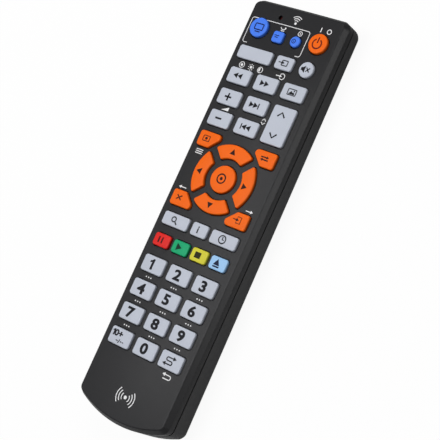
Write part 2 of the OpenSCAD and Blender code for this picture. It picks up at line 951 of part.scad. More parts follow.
module key_menu() set_down() color(orange) corner_key(-1, 1);
module key_audio() set_down() color(orange) corner_key(1, 1);
module key_cancel() set_down() color(orange) corner_key(-1, -1);
module key_exit() set_down() color(orange) corner_key(1, -1);
module key_up() set_down() color(orange) cursor_key(0);
module key_left() set_down() color(orange) cursor_key(90);
module key_down() set_down() color(orange) cursor_key(180);
module key_right() set_down() color(orange) cursor_key(270);
module key_ok() set_down() color(orange) spot(0, 0) round_key(ok_d, key_stand);
module key_zoom() set_down() color(grey) spot(-long_x, -long_y) block_key(long_w, long_h);
module key_info() set_down() color(grey) spot(0, -long_y) block_key(info_w, long_h);
module key_timer() set_down() color(grey) spot(long_x, -long_y) block_key(long_w, long_h);
module key_pause() set_down() color([0.9, 0.2, 0.2]) colour_key(0);
module key_play() set_down() color([0.12, 0.68, 0.43]) colour_key(1);
module key_stop() set_down() color([0.88, 0.84, 0.25]) colour_key(2);
module key_eject() set_down() color([0.58, 0.78, 0.97]) colour_key(3);
module key_1() set_down() color(grey) number_key(-1, 0);
module key_2() set_down() color(grey) number_key(0, 0);
module key_3() set_down() color(grey) number_key(1, 0);
module key_4() set_down() color(grey) number_key(-1, 1);
module key_5() set_down() color(grey) number_key(0, 1);
module key_6() set_down() color(grey) number_key(1, 1);
module key_7() set_down() color(grey) number_key(-1, 2);
module key_8() set_down() color(grey) number_key(0, 2);
module key_9() set_down() color(grey) number_key(1, 2);
module key_ten_plus() set_down() color(grey) number_key(-1, 3);
module key_0() set_down() color(grey) number_key(0, 3);
module key_return() set_down() color(grey) number_key(1, 3);

top_case();
bottom_case();
battery_door();
case_screws();
keypad_mat();
circuit_board();
control_chip();
resonator();
capacitor();
ir_emitter();
ir_receiver();
ir_window();
signal_lamp();
cell_left();
cell_right();
contact_springs();
contact_plates();
key_power();
key_device_round();
key_device_square();
key_device_small();
key_blank();
key_input();
key_mute();
key_rewind();
key_forward();
key_picture();
key_volume_up();
key_volume_down();
key_next();
key_previous();
key_channel();
key_menu();
key_audio();
key_cancel();
key_exit();
key_up();
key_down();
key_left();
key_right();
key_ok();
key_zoom();
key_info();
key_timer();
key_pause();
key_play();
key_stop();
key_eject();
key_1();
key_2();
key_3();
key_4();
key_5();
key_6();
key_7();
key_8();
key_9();
key_ten_plus();
key_0();
key_return();
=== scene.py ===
import math

import bmesh
import bpy
import numpy as np
from mathutils import Matrix, Vector
from mathutils.geometry import delaunay_2d_cdt


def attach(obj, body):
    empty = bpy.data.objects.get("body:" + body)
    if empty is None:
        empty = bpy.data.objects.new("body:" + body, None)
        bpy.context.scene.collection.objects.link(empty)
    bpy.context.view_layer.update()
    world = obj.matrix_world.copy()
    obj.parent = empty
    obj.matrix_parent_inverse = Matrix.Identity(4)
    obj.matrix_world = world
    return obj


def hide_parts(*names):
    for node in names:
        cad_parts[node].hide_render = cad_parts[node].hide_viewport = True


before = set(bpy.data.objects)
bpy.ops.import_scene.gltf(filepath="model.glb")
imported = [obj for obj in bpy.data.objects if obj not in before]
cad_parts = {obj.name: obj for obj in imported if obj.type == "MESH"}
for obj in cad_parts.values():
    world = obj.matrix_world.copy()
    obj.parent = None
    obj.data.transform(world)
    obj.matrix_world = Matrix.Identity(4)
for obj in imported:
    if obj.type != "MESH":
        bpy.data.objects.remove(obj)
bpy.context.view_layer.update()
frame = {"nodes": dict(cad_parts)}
nodes, scene = frame["nodes"], bpy.context.scene

# sizes in mm, drawn on the key face with z up out of it, and turned onto the back by setDown
shell = dict(
    length=185.6, width=48, wall=1.5, seam=6, depthHead=15.1, depthTail=19.1,
    faceInset=1.5, faceDrop=2.8,  # the sloping edge round the key face
    edgeRound=4.8, headRound=3.8, tailRound=4, leastRound=0.4, headArc=2000, tailArc=52,
    padY=14.85,  # from the middle of the case to the middle key
)
metresPerMm = 0.001
weldReach = 2e-6  # points nearer than this, in metres, are one
halfLength = shell["length"] / 2
tilt = math.atan((shell["depthTail"] - shell["depthHead"]) / shell["length"])
middleDepth = (shell["depthTail"] + shell["depthHead"]) / 2
backRound = shell["edgeRound"]
tailEnd = (
    (backRound - halfLength) * math.cos(tilt)
    + (backRound - shell["depthTail"]) * math.sin(tilt) - backRound
)
headEnd = halfLength * math.cos(tilt) - shell["faceDrop"] * math.sin(tilt)


# a turn about X by the wedge of the case, a shift to its middle and up, then mm to metres
def setDown(points):
    x, y, z = np.asarray(points, float).T
    along = y * math.cos(tilt) + z * math.sin(tilt) - (tailEnd + headEnd) / 2
    above = z * math.cos(tilt) - y * math.sin(tilt) + middleDepth * math.cos(tilt)
    return np.stack([x, along, above], 1) * metresPerMm


# a place on the key face, given from the middle key
def onFace(x, y):
    return np.array([x, y + shell["padY"], 0])


# a mesh from an array of points and arrays of faces, each array with its own number of corners;
# smooth is one flag, or one for each face
def meshFrom(name, points, faceSets, smooth=True):
    sides = np.concatenate([np.full(len(faces), faces.shape[1]) for faces in faceSets])
    corners = np.concatenate([faces.ravel() for faces in faceSets])
    mesh = bpy.data.meshes.new(name)
    mesh.vertices.add(len(points))
    mesh.vertices.foreach_set("co", np.asarray(points, np.float32).ravel())
    mesh.loops.add(len(corners))
    mesh.loops.foreach_set("vertex_index", corners.astype(np.int32))
    mesh.polygons.add(len(sides))
    mesh.polygons.foreach_set("loop_start", (np.cumsum(sides) - sides).astype(np.int32))
    mesh.polygons.foreach_set("use_smooth", np.full(len(sides), smooth))
    mesh.update(calc_edges=True)
    mesh.validate()
    return mesh


def addObject(name, data):
    added = bpy.data.objects.new(name, data)
    scene.collection.objects.link(added)
    return added


def addPiece(name, mesh, body, finish, instead=()):
    piece = addObject(name, mesh)
    mesh.materials.append(finish)
    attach(piece, body)
    if instead:
        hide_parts(*instead)


# quads between rings of equal count, each ring one step of the profile
def loftFaces(rings, count):
    a = np.arange((rings - 1) * count).reshape(-1, count)
    b = np.roll(a, -1, 1)
    return np.stack([a, b, b + count, a + count], -1).reshape(-1, 4)


# triangles from a ring to one middle point
def fanFaces(ringStart, count, middle, up):
    a, tip = np.arange(ringStart, ringStart + count), np.full(count, middle)
    b = np.roll(a, -1)
    return np.stack([a, b, tip] if up else [b, a, tip], 1)


def atHeight(flat, z):  # flat points, all at one height
    return np.column_stack([flat, np.full(len(flat), z)])


def spinBy(angle):  # the matrix that turns rows of x and y
    c, s = math.cos(angle), math.sin(angle)
    return np.array([[c, s], [-s, c]])


# points on each arc of an outline
arcSteps = dict(
    disc=64, corner=14, ringCorner=8, ringOuter=26, ringInner=20, ringApart=1,  # apart in degrees
    caseCorner=14, caseEnd=57,
)


# An outline is kept as arc centres, radii and outward directions: a point is
# centre + (radius - inset) * direction, so one formula draws it in or out by any distance.
def atInset(outline, inset):
    centre, radius, out = outline
    return centre + (radius - inset)[:, None] * out


# arcs one after the other, each with its own centre, radius, and first and last direction in degrees
def arcOutline(centres, radii, fromDeg, toDeg, steps):
    angle = np.radians(np.linspace(fromDeg, toDeg, steps, axis=-1)).ravel()
    out = np.stack([np.cos(angle), np.sin(angle)], 1)
    return np.repeat(np.array(centres, float), steps, 0), np.repeat(np.array(radii, float), steps), out


# one arc all the way round
def discOutline(across):
    steps = arcSteps["disc"]
    return arcOutline([[0, 0]], [across / 2], [0], [360 - 360 / steps], steps)


# a rectangle with a quarter circle at each corner
def blockOutline(wide, high, bend):
    x, y = wide / 2 - bend, high / 2 - bend
    turn = np.arange(4) * 90.0
    centres = [[x, y], [-x, y], [-x, -y], [x, -y]]
    return arcOutline(centres, [bend] * 4, turn, turn + 90, arcSteps["corner"])


# a trapezium with rounded corners: the side towards the middle key slants at 45 degrees
def cornerOutline(shape):
    bend, tip = shape["bend"], shape["tip"]
    lean = shape["x"] - shape["wide"] + shape["y"]
    high, low = shape["y"] - bend, shape["y"] - shape["high"] + bend
    side, tipHigh = shape["x"] - bend, shape["y"] - tip
    tipSide = lean + (tip - bend) * math.sqrt(2) - tipHigh
    centres = [[side, high], [tipSide, tipHigh], [lean - low, low], [side, low]]
    radii = [bend, tip, bend, bend]
    return arcOutline(centres, radii, [0, 90, 225, 270], [90, 225, 270, 360], arcSteps["corner"])


# a quarter of a ring, its ends cut parallel to the diagonals, every corner a small arc
def ringOutline(shape):
    inner, outer, bend = shape["inner"], shape["outer"], shape["bend"]
    aside = shape["slot"] + bend  # from the diagonal to the centres of the corner arcs
    far = math.sqrt((outer - bend) ** 2 - aside ** 2)  # along the diagonal to the outer two
    near = math.sqrt((inner + bend) ** 2 - aside ** 2)
    outerRight = np.array([far - aside, far + aside]) * math.sqrt(0.5)
    innerRight = np.array([near - aside, near + aside]) * math.sqrt(0.5)
    outerAim = math.degrees(math.atan2(outerRight[1], outerRight[0]))
    innerAim = math.degrees(math.atan2(innerRight[1], innerRight[0]))
    flip, apart, small = np.array([-1, 1]), arcSteps["ringApart"], arcSteps["ringCorner"]
    outerEnds = [outerAim + apart], [180 - outerAim - apart]
    innerEnds = [360 - innerAim - apart], [180 + innerAim + apart]
    arcs = [
        arcOutline([outerRight], [bend], [-45], [outerAim], small),
        arcOutline([[0, 0]], [outer], *outerEnds, arcSteps["ringOuter"]),
        arcOutline([outerRight * flip], [bend], [180 - outerAim], [225], small),
        arcOutline([innerRight * flip], [bend], [225], [360 - innerAim], small),
        arcOutline([[0, 0]], [-inner], *innerEnds, arcSteps["ringInner"]),
        arcOutline([innerRight], [bend], [180 + innerAim], [315], small),
    ]
    return tuple(np.concatenate(group) for group in zip(*arcs))


# one end of the case: a corner arc, the broad arc of the end, and a corner arc again
def endOutline(broad, bend, inset):
    wide, apex, broad = shell["width"] / 2 - inset, halfLength - inset, broad - inset
    bend = max(bend - inset, shell["leastRound"])
    middle = apex - broad
    knee = middle + math.sqrt((broad - bend) ** 2 - (wide - bend) ** 2)
    aim = math.atan2(knee - middle, wide - bend)
    bow = np.linspace(0, aim, arcSteps["caseCorner"], endpoint=False)
    right = np.stack([wide - bend + bend * np.cos(bow), knee + bend * np.sin(bow)], 1)
    sweep = np.linspace(aim, math.pi - aim, arcSteps["caseEnd"])
    end = np.stack([broad * np.cos(sweep), middle + broad * np.sin(sweep)], 1)
    return np.concatenate([right, end, right[::-1] * [-1, 1]])


def caseOutline(inset):  # the head end, then the tail end turned half round
    head = endOutline(shell["headArc"], shell["headRound"], inset)
    tail = endOutline(shell["tailArc"], shell["tailRound"], inset)
    return np.concatenate([head, -tail])


def mathsNode(operation, swapped=False):  # an operator of Wire
    def joined(self, other):
        values = (other, self) if swapped else (self, other)
        return self.maker.add("ShaderNodeMath", {"operation": operation}, dict(enumerate(values)))
    return joined


class Wire:  # one value of a shader; maths on it adds Math nodes
    def __init__(self, maker, socket):
        self.maker, self.socket = maker, socket

    __add__, __radd__ = mathsNode("ADD"), mathsNode("ADD", True)
    __sub__, __rsub__ = mathsNode("SUBTRACT"), mathsNode("SUBTRACT", True)
    __mul__, __rmul__ = mathsNode("MULTIPLY"), mathsNode("MULTIPLY", True)
    __gt__, __lt__ = mathsNode("GREATER_THAN"), mathsNode("LESS_THAN")


class NodeTree:  # adds nodes to one tree, sets them and links them
    def __init__(self, tree):
        self.tree = tree
        tree.nodes.clear()

    def add(self, kind, settings=None, inputs=None, out=0):
        node = self.tree.nodes.new(kind)
        for key, value in (settings or {}).items():
            setattr(node, key, value)
        for key, value in (inputs or {}).items():
            self.feed(node.inputs[key], value)
        return Wire(self, node.outputs[out] if node.outputs else None)

    def feed(self, socket, value):
        if isinstance(value, Wire):
            self.tree.links.new(value.socket, socket)
        else:
            socket.default_value = value

    def path(self, kind):
        return self.add("ShaderNodeLightPath", out=kind)


class Finish(NodeTree):  # one material: a Principled shader and what feeds it
    def __init__(self, name):
        self.material = bpy.data.materials.new(name)
        self.material.use_nodes = True
        super().__init__(self.material.node_tree)
        self.surface = self.add("ShaderNodeBsdfPrincipled")
        self.place = self.add("ShaderNodeTexCoord", out="Object")

    def noise(self, scale, detail=2, place=None):
        inputs = {"Vector": place or self.place, "Scale": scale, "Detail": detail}
        return self.add("ShaderNodeTexNoise", inputs=inputs)

    def between(self, factor, first, second):
        inputs = {0: factor, 6: (*first, 1), 7: (*second, 1)}  # the colour sockets of the node
        return self.add("ShaderNodeMix", {"data_type": "RGBA"}, inputs, out=2)

    def shades(self, factor, colour, look):  # one colour, from a darker to a paler shade of it
        return self.between(factor, shade(colour, look["dark"]), shade(colour, look["pale"]))

    def bump(self, height, distance):
        return self.add("ShaderNodeBump", inputs={"Height": height, "Distance": distance})

    def done(self, shader=None, **values):  # values for the Principled sockets, with _ for each space
        for key, value in values.items():
            self.feed(self.surface.socket.node.inputs[key.replace("_", " ")], value)
        self.add("ShaderNodeOutputMaterial", inputs={"Surface": shader or self.surface})
        return self.material


def shade(colour, factor):
    return tuple(min(1.0, level * factor) for level in colour)


def around(noise, share):  # noise about its middle value, so that it changes nothing on average
    return share * (noise - 0.5)


plasticLook = dict(
    colour=(0.016, 0.016, 0.0175), dark=0.9, pale=1.1, rough=0.385, gloss=0.18,
    cloud=38, cloudDetail=3, cloudRough=0.06, grain=5200, grainDetail=1, grainRough=0.14,
    pit=0.000012,  # depth of the grain in metres
)


# moulded plastic: two shades mixed by slow noise, and a fine spark grain in the bump and the roughness
def mouldedPlastic(name, **changes):
    look = dict(plasticLook, **changes)
    finish = Finish(name)
    cloud = finish.noise(look["cloud"], look["cloudDetail"])
    grain = finish.noise(look["grain"], look["grainDetail"])
    return finish.done(
        Base_Color=finish.shades(cloud, look["colour"], look),
        Roughness=look["rough"] + around(grain, look["grainRough"]) + around(cloud, look["cloudRough"]),
        Normal=finish.bump(grain, look["pit"]), Specular_IOR_Level=look["gloss"],
    )


rubberLook = dict(
    dark=0.955, pale=1.03, rough=0.5, gloss=0.11, cloud=90,
    grain=3800, grainDetail=1, grainRough=0.16, pit=0.000006,
)


# soft silicone: a faint cloud in the colour, and a finer grain in the bump and the roughness
def silicone(name, colour, rough=rubberLook["rough"]):
    finish = Finish(name)
    cloud = finish.noise(rubberLook["cloud"])
    grain = finish.noise(rubberLook["grain"], rubberLook["grainDetail"])
    return finish.done(
        Base_Color=finish.shades(cloud, colour, rubberLook),
        Roughness=rough + around(grain, rubberLook["grainRough"]),
        Normal=finish.bump(grain, rubberLook["pit"]), Specular_IOR_Level=rubberLook["gloss"],
    )


inkLook = dict(dark=0.86, pale=1.12, rough=0.55, gloss=0.08, wear=2600, wearRough=0.2)


# printed ink: thin places are a little darker and smoother
def ink(name, colour):
    finish = Finish(name)
    wear = finish.noise(inkLook["wear"])
    return finish.done(
        Base_Color=finish.shades(wear, colour, inkLook),
        Roughness=inkLook["rough"] + around(wear, inkLook["wearRough"]),
        Specular_IOR_Level=inkLook["gloss"],
    )


metalLook = dict(dark=0.85, pale=1.05, streaks=(4000, 300, 4000), streakRough=0.2)


# drawn or plated metal: streaks along one axis in the colour and the roughness
def platedMetal(name, colour, rough):
    finish = Finish(name)
    stretch = {"Vector": finish.place, "Scale": metalLook["streaks"]}
    streak = finish.noise(1, place=finish.add("ShaderNodeMapping", inputs=stretch))
    return finish.done(
        Base_Color=finish.shades(streak, colour, metalLook), Metallic=1,
        Roughness=rough + around(streak, metalLook["streakRough"]),
    )


glossLook = dict(dark=0.9, pale=1.1, haze=400, hazeRough=0.05)


# clear or tinted moulding with a smooth skin and a faint haze
def glossyMoulding(name, colour, rough, **more):
    finish = Finish(name)
    haze = finish.noise(glossLook["haze"])
    return finish.done(
        Base_Color=finish.shades(haze, colour, glossLook),
        Roughness=rough + glossLook["hazeRough"] * haze, **more,
    )


boardLook = dict(
    base=(0.35, 0.22, 0.07), track=(0.52, 0.38, 0.16), rough=0.45,
    lines=130, lineDetail=1, wander=6, lineShare=0.5,
    cloud=260, cloudDetail=3, cloudShare=0.3, cloudRough=0.1,
)


# brown laminate with paler tracks, as wavering bands across it and a cloud over both
def boardFinish():
    finish = Finish("laminate")
    cloud = finish.noise(boardLook["cloud"], boardLook["cloudDetail"])
    run = {"Vector": finish.place, "Scale": boardLook["lines"], "Distortion": boardLook["wander"]}
    bands = {"wave_type": "BANDS", "bands_direction": "X"}
    tracks = finish.add("ShaderNodeTexWave", bands, {**run, "Detail": boardLook["lineDetail"]})
    share = boardLook["lineShare"] * tracks + boardLook["cloudShare"] * cloud
    return finish.done(
        Base_Color=finish.between(share, boardLook["base"], boardLook["track"]),
        Roughness=boardLook["rough"] + boardLook["cloudRough"] * cloud,
    )


cellLook = dict(
    can=(0.02, 0.025, 0.03), band=(0.05, 0.26, 0.12), leftEdge=-0.045, rightEdge=-0.063,  # edges in metres
    metal=0.35, rough=0.28, scuff=700, scuffDetail=3, scuffRough=0.14,
)


# a printed sleeve: one broad coloured band round the raised end of a dark can
def cellFinish(name, edge, headward):
    finish = Finish(name)
    along = finish.add("ShaderNodeSeparateXYZ", inputs={"Vector": finish.place}, out=1)
    banded = along > edge if headward else along < edge
    scuff = finish.noise(cellLook["scuff"], cellLook["scuffDetail"])
    return finish.done(
        Base_Color=finish.between(banded, cellLook["can"], cellLook["band"]),
        Metallic=cellLook["metal"], Roughness=cellLook["rough"] + cellLook["scuffRough"] * scuff,
    )


# each key colour: its rubber, the ink printed on it, and the record's slot
keyLooks = dict(
    grey=dict(rubber=(0.518, 0.55, 0.627), ink=(0.012, 0.012, 0.015), slot="key_grey"),
    orange=dict(rubber=(0.9, 0.138, 0.004), ink=(0.028, 0.01, 0.008), slot="key_orange"),
    blue=dict(rubber=(0.07, 0.22, 0.9), ink=(0.009, 0.014, 0.075), slot="key_blue"),
    red=dict(rubber=(0.72, 0.022, 0.018), ink=(0.085, 0.008, 0.009), slot="key_red"),
    green=dict(rubber=(0.011, 0.37, 0.155), ink=(0.006, 0.03, 0.02), slot="key_green"),
    yellow=dict(rubber=(0.65, 0.6, 0.045), ink=(0.025, 0.022, 0.008), slot="key_yellow"),
    paleBlue=dict(rubber=(0.34, 0.58, 0.88), ink=(0.014, 0.02, 0.05), slot="key_pale_blue"),
)
printLooks = dict(power=(0.13, 0.013, 0.009), face=(0.82, 0.82, 0.83))
# the lower half and the battery door: the same plastic as the upper half, with a coarser grain, but painted
# paler to make up for the shade along their sides
lowerLookPaledForShade = dict(colour=(0.0295, 0.0295, 0.0307), grain=3000, pit=0.00003, rough=0.5, gloss=0.3)
keyFinish = {name: silicone(name + "Silicone", look["rubber"]) for name, look in keyLooks.items()}
keyInk = {name: ink(name + "Ink", look["ink"]) for name, look in keyLooks.items()}
keyInk["power"] = ink("powerInk", printLooks["power"])
faceInk = ink("whitePrint", printLooks["face"])
faceFinish = mouldedPlastic("caseSatin")
lowerFinishPaledForShade = mouldedPlastic("caseSparkPaledForShade", **lowerLookPaledForShade)
print("finishes made")

# the corner keys and the cursor ring, from the middle key; a peak is where a crown comes to a point
cornerKey = dict(x=19.8, wide=11.35, y=16.8, high=6.7, bend=1.1, tip=1.6, peakX=0.42, peakY=0.47)
cursorRing = dict(inner=9, outer=15, slot=1.75, bend=0.7, peak=12.1)
# heights over the face, the rounding of the keys, and the gap between a key and its opening
keySkin = dict(
    stand=1.15, tall=1.35, crown=0.22, foot=-1.9, edge=0.45, bend=1.1, gap=0.3,
    edgeSteps=7, topRings=(0.84, 0.66, 0.46, 0.24),
)
grid = dict(
    sideX=15.1, topY=65, smallX=4.4, smallY=63.25, secondY=53.35, inputX=4.05,
    transportX=14, transportY=42.75, transportRow=9.8, rockerRow=1.5,
    longX=12.7, longY=-22.85, colourX=10, colourY=-32.4, numberX=13.7, numberY=-43.05, numberRow=10.78,
)
keySize = dict(
    large=8.6, small=4.7, mute=6.8, middle=11.75,  # round keys
    square=(5.3, 4.9), blank=(17.1, 5.7), input=(8.65, 5.7), transport=(11.1, 6.75), rocker=(11.1, 16.55),
    long=(13.3, 5.6), info=(8.1, 5.6), colour=(8.2, 5.5), number=(11.2, 7.05),
)


def newKey(kind, outline, colour="orange", x=0, y=0, stand=keySkin["stand"], peak=(0, 0), **size):
    return dict(kind=kind, outline=outline, colour=colour, x=x, y=y, stand=stand, peak=np.array(peak), **size)


def blockKey(x, y, size, colour="grey"):
    wide, high = size
    return newKey("block", blockOutline(*size, keySkin["bend"]), colour, x, y, wide=wide, high=high)


def discKey(x, y, across, colour, stand=keySkin["stand"]):
    return newKey("disc", discOutline(across), colour, x, y, stand, wide=across)


# an outline turned about the middle key or mirrored, with its points still anticlockwise
def turned(outline, angle, mirrorX=1, mirrorY=1):
    centre, radius, out = outline
    spin = spinBy(angle) * [mirrorX, mirrorY]
    order = slice(None, None, mirrorX * mirrorY)
    return (centre @ spin)[order], radius[order], (out @ spin)[order]


def cursorKey(angle):
    peak = np.array([-math.sin(angle), math.cos(angle)]) * cursorRing["peak"]
    return newKey("ring", turned(ringOutline(cursorRing), angle), peak=peak)


def cornerKeyAt(mirrorX, mirrorY):
    x = cornerKey["x"] - cornerKey["wide"] * cornerKey["peakX"]
    y = cornerKey["y"] - cornerKey["high"] * cornerKey["peakY"]
    outline = turned(cornerOutline(cornerKey), 0, mirrorX, mirrorY)
    return newKey("corner", outline, peak=(mirrorX * x, mirrorY * y))


def numberKey(column, row):
    y = grid["numberY"] - row * grid["numberRow"]
    return blockKey(column * grid["numberX"], y, keySize["number"])


def transportKey(column, row, size=keySize["transport"]):
    return blockKey(column * grid["transportX"], grid["transportY"] - row * grid["transportRow"], size)


def colourKey(place, colour):  # four in a row
    return blockKey((place - 1.5) * grid["colourX"], grid["colourY"], keySize["colour"], colour)


blankX = keySize["blank"][0] / 2 - cornerKey["x"]
keys = dict(
    power=discKey(grid["sideX"], grid["topY"], keySize["large"], "orange", keySkin["tall"]),
    device_round=discKey(-grid["sideX"], grid["topY"], keySize["large"], "blue", keySkin["tall"]),
    device_square=blockKey(-grid["smallX"], grid["smallY"], keySize["square"], "blue"),
    device_small=discKey(grid["smallX"], grid["smallY"], keySize["small"], "blue"),
    blank=blockKey(blankX, grid["secondY"], keySize["blank"]),
    input=blockKey(grid["inputX"], grid["secondY"], keySize["input"]),
    mute=discKey(grid["sideX"], grid["secondY"], keySize["mute"], "grey"),
    rewind=transportKey(-1, 0), forward=transportKey(0, 0), picture=transportKey(1, 0),
    volume_up=transportKey(-1, 1), volume_down=transportKey(-1, 2),
    next=transportKey(0, 1), previous=transportKey(0, 2),
    channel=transportKey(1, grid["rockerRow"], keySize["rocker"]),
    menu=cornerKeyAt(-1, 1), audio=cornerKeyAt(1, 1), cancel=cornerKeyAt(-1, -1), exit=cornerKeyAt(1, -1),
    up=cursorKey(0), left=cursorKey(math.pi / 2), down=cursorKey(math.pi), right=cursorKey(-math.pi / 2),
    ok=discKey(0, 0, keySize["middle"], "orange"),
    zoom=blockKey(-grid["longX"], grid["longY"], keySize["long"]),
    info=blockKey(0, grid["longY"], keySize["info"]),
    timer=blockKey(grid["longX"], grid["longY"], keySize["long"]),
    pause=colourKey(0, "red"), play=colourKey(1, "green"),
    stop=colourKey(2, "yellow"), eject=colourKey(3, "paleBlue"),
)
numberNames = [*"123456789", "ten_plus", "0", "return"]
keys.update({name: numberKey(i % 3 - 1, i // 3) for i, name in enumerate(numberNames)})


# height of a key's crowned top over its rim: one less the square of the way out from its middle point or
# line; a block has the product of the two for its length and width
def crownOf(key, x, y):
    if key["kind"] == "disc":
        share = 1 - (x * x + y * y) / (key["wide"] / 2) ** 2
    elif key["kind"] == "ring":
        middle = (cursorRing["inner"] + cursorRing["outer"]) / 2
        share = 1 - ((np.hypot(x, y) - middle) / (cursorRing["outer"] - middle)) ** 2
    elif key["kind"] == "corner":
        half = cornerKey["high"] / 2
        share = 1 - ((np.abs(y) - cornerKey["y"] + half) / half) ** 2
    else:
        share = (1 - (2 * x / key["wide"]) ** 2) * (1 - (2 * y / key["high"]) ** 2)
    return keySkin["crown"] * np.maximum(share, 0)


# a key: its outline carried up the wall, round the rim on a quarter circle, then drawn in over the
# crowned top to one point
def keyMesh(name, key):
    edge, foot, stand, peak = keySkin["edge"], keySkin["foot"], key["stand"], key["peak"]
    bend = np.linspace(0, math.pi / 2, keySkin["edgeSteps"])
    insets = np.append(0, edge * (1 - np.cos(bend)))
    heights = np.append(foot, stand - edge + edge * np.sin(bend))
    rings = [atInset(key["outline"], inset) for inset in insets]
    inner = [peak + (rings[-1] - peak) * share for share in keySkin["topRings"]]
    flat = np.array(rings + inner)
    z = np.append(heights, np.full(len(inner), stand))[:, None] + np.zeros(flat.shape[:2])
    z[2:] += crownOf(key, flat[2:, :, 0], flat[2:, :, 1])  # past the two rings of the wall
    count = flat.shape[1]
    ends = [[*peak, stand + crownOf(key, *peak)], [*peak, foot]]
    points = np.vstack([np.dstack([flat, z]).reshape(-1, 3), ends])
    top = fanFaces((len(flat) - 1) * count, count, len(points) - 2, True)
    bottom = fanFaces(0, count, len(points) - 1, False)
    faceSets = [loftFaces(len(flat), count), top, bottom]
    return meshFrom(name, setDown(points + onFace(key["x"], key["y"])), faceSets)


for name, key in keys.items():
    cap = "cap_" + name
    colour = key["colour"]
    addPiece(cap, keyMesh(cap, key), name, keyFinish[colour], ["key_" + name])
print("keys made:", len(keys))


# whether a closed loop winds round each point: its upward and downward crossings of a ray differ
def insideLoop(points, loop):
    x, y = points[:, :1], points[:, 1:]
    a, b = loop, np.roll(loop, -1, 0)
    rise = np.where(a[:, 1] == b[:, 1], np.inf, b[:, 1] - a[:, 1])  # a level edge crosses no ray
    meets = a[:, 0] + (y - a[:, 1]) * (b[:, 0] - a[:, 0]) / rise
    turns = (b[:, 1] > y).astype(int) - (a[:, 1] > y)
    return (turns * (x < meets)).sum(1) != 0


# triangles between closed loops and any loose points, all turned to face up
def triangulate(loops, loose=()):
    insideOnly, near = 1, 1e-6
    points = np.concatenate([*loops, *loose])
    ends = np.cumsum([len(loop) for loop in loops])
    rings = np.split(np.arange(ends[-1]), ends[:-1])
    edges = np.concatenate([np.stack([ring, np.roll(ring, -1)], 1) for ring in rings]).tolist()
    verts, _, faces, *_ = delaunay_2d_cdt(list(map(Vector, points)), edges, [], insideOnly, near)
    flat, tris = np.array([tuple(vert) for vert in verts]), np.array(faces)
    a, b, c = (flat[tris[:, k]] for k in range(3))
    left = (b - a)[:, 0] * (c - a)[:, 1] > (b - a)[:, 1] * (c - a)[:, 0]
    tris[~left] = tris[~left][:, ::-1]
    return flat, tris


# a flat face inside the first loop, with the other loops left open
def fillBetween(loops, z, up):
    flat, tris = triangulate(loops)
    middles = flat[tris].mean(1)
    tris = tris[np.sum([insideLoop(middles, loop) for loop in loops], 0) == 1]
    return atHeight(flat, z), tris if up else tris[:, ::-1]


topCase = dict(
    rim=0.22, faceRound=0.65, slopeRound=0.3, seamRound=0.28, lampHole=1.9, lampX=-7.9, lampY=71.7,
    innerDrop=0.8, underShare=0.75,  # the inside of the sloping edge
    faceSteps=7, slopeSteps=4, seamSteps=5, rimSteps=5,
)


# the section of the upper half, as inset and height: a rounding from the face onto the slope, one from
# the slope onto the side, a rounded lip at the seam, then up the inner wall to the underside of the face
def caseSection():
    wall, drop, seam = shell["wall"], shell["faceDrop"], shell["seam"]
    slope = math.atan2(drop, shell["faceInset"])
    soft, lowSoft, lip = topCase["faceRound"], topCase["slopeRound"], topCase["seamRound"]
    swing = np.linspace(0, slope, topCase["faceSteps"])
    start = shell["faceInset"] + soft * math.tan(slope / 2)
    face = np.column_stack([start - soft * np.sin(swing), -soft * (1 - np.cos(swing))])
    swing = np.linspace(slope, math.pi / 2, topCase["slopeSteps"])
    start = -drop - lowSoft * math.tan((math.pi / 2 - slope) / 2)
    side = np.column_stack([lowSoft * (1 - np.sin(swing)), start + lowSoft * np.cos(swing)])
    swing = np.linspace(0, math.pi / 2, topCase["seamSteps"])
    low = np.column_stack([lip * (1 - np.cos(swing)), lip - seam - lip * np.sin(swing)])
    under = shell["faceInset"] + topCase["underShare"] * wall
    inner = [[wall, -seam], [wall, -drop - topCase["innerDrop"]], [under, -wall]]
    return np.vstack([face, side, low, inner])


# the upper half: its section carried round the case, and a rounded rim carried down each opening, with
# the key face and its underside filled in between them
def topCaseMesh():
    wall, rim = shell["wall"], topCase["rim"]
    rings = [atHeight(caseOutline(inset), z) for inset, z in caseSection()]
    blocks = [(np.concatenate(rings), loftFaces(len(rings), len(rings[0]))[:, ::-1], True)]
    upper, under = [rings[0][:, :2]], [rings[-1][:, :2]]
    openings = [(key["outline"], key["x"], key["y"], keySkin["gap"]) for key in keys.values()]
    openings.append((discOutline(topCase["lampHole"]), topCase["lampX"], topCase["lampY"], 0))
    bend = np.linspace(0, math.pi / 2, topCase["rimSteps"])
    for outline, x, y, gap in openings:
        insets = np.append(-gap - rim * (1 - np.sin(bend)), -gap)
        heights = np.append(-rim * (1 - np.cos(bend)), -wall)
        loft = [atHeight(atInset(outline, inset), z) + onFace(x, y) for inset, z in zip(insets, heights)]
        blocks.append((np.concatenate(loft), loftFaces(len(loft), len(loft[0])), True))
        upper.append(loft[0][:, :2])
        under.append(loft[-1][:, :2])
    blocks.append((*fillBetween(upper, 0, True), False))
    blocks.append((*fillBetween(under, -wall, False), False))
    return joinBlocks("topCase", blocks)


# blocks of points and faces as one closed mesh, with doubled points merged
def joinBlocks(name, blocks):
    points, faceSets, flags = zip(*blocks)
    counts = [len(block) for block in points]
    shifted = [faces + start for faces, start in zip(faceSets, np.cumsum(counts) - counts)]
    smooth = np.repeat(flags, [len(faces) for faces in faceSets])
    mesh = meshFrom(name, setDown(np.concatenate(points)), shifted, smooth)
    work = bmesh.new()
    work.from_mesh(mesh)
    bmesh.ops.remove_doubles(work, verts=work.verts, dist=weldReach)
    work.to_mesh(mesh)
    work.free()
    return mesh


upperMesh = topCaseMesh()
addPiece("upperCase", upperMesh, "case", faceFinish, ["top_case"])
print("upper case made:", len(upperMesh.polygons), "faces")

